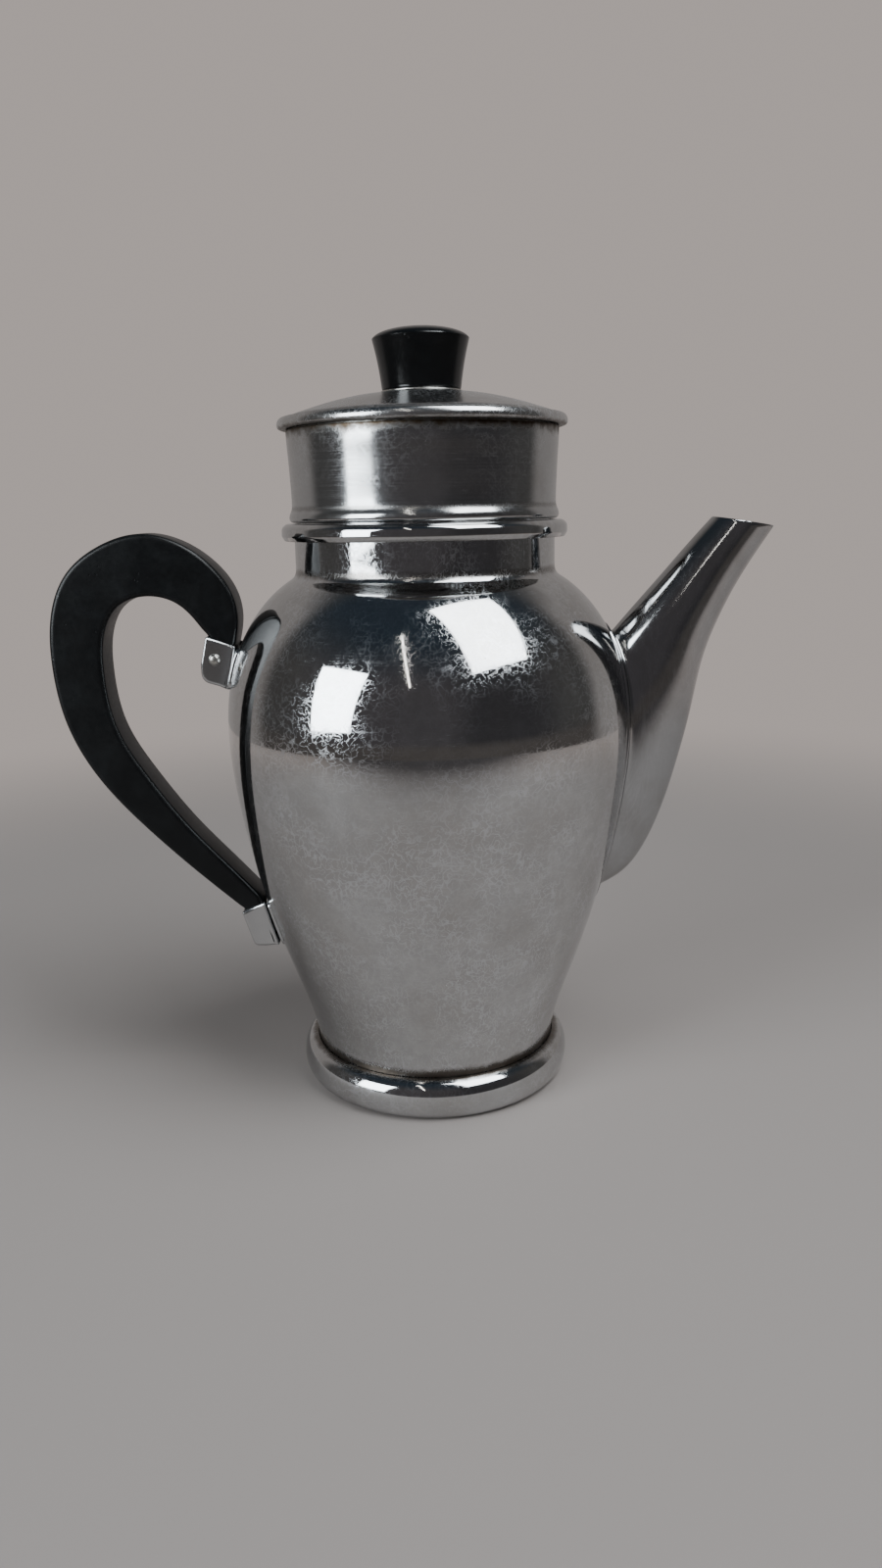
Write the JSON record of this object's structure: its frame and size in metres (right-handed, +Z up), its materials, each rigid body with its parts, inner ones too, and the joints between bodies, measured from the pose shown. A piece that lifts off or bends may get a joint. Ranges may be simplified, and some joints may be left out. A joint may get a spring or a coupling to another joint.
{
  "type": "coffee pot",
  "caption": "Urn-shaped drip coffee pot in polished chrome plate with swept spout, flat black scroll handle, lift-out filter and spreader, and domed lid with black knob.",
  "frame": {"origin": "centre of the flat base, on the axis of the pot", "axes": "+Z up along the axis of the pot, +X towards the spout, -X towards the handle, +Y across the pot, to the left of someone looking along +X"},
  "size_m": [0.23, 0.1296, 0.2418],
  "materials": {
    "chrome_plate": "mirror chrome plate, worn, with fine scratches, pitting and a slight haze",
    "satin_nickel": "satin nickel on brass",
    "handle_bakelite": "satin black Bakelite with faint swirls and rubbed edges",
    "knob_bakelite": "glossy black Bakelite with fine turning lines"
  },
  "bodies": {
    "pot": {"pot_body": "chrome_plate", "base_plate": "satin_nickel", "foot_ring": "chrome_plate", "neck_ring": "chrome_plate", "spout": "chrome_plate", "handle": "handle_bakelite", "upper_handle_socket": "chrome_plate", "lower_handle_socket": "chrome_plate", "handle_pin": "satin_nickel"},
    "filter": {"filter_shell": "chrome_plate", "filter_plate": "satin_nickel"},
    "spreader": {"spreader_disc": "satin_nickel", "spreader_stem": "satin_nickel", "spreader_nut": "satin_nickel", "spreader_knob": "knob_bakelite"},
    "lid": {"lid_shell": "chrome_plate", "lid_collar": "satin_nickel", "knob_washer": "satin_nickel", "lid_knob": "knob_bakelite", "knob_screw": "satin_nickel"}
  },
  "joints": [
    {"name": "filter_lift", "type": "slide", "parent": "pot", "child": "filter", "axis": [0, 0, 1], "range_m": [0, 0.06]},
    {"name": "spreader_lift", "type": "slide", "parent": "filter", "child": "spreader", "axis": [0, 0, 1], "range_m": [0, 0.04]},
    {"name": "lid_lift", "type": "slide", "parent": "spreader", "child": "lid", "axis": [0, 0, 1], "range_m": [0, 0.04]}
  ]
}
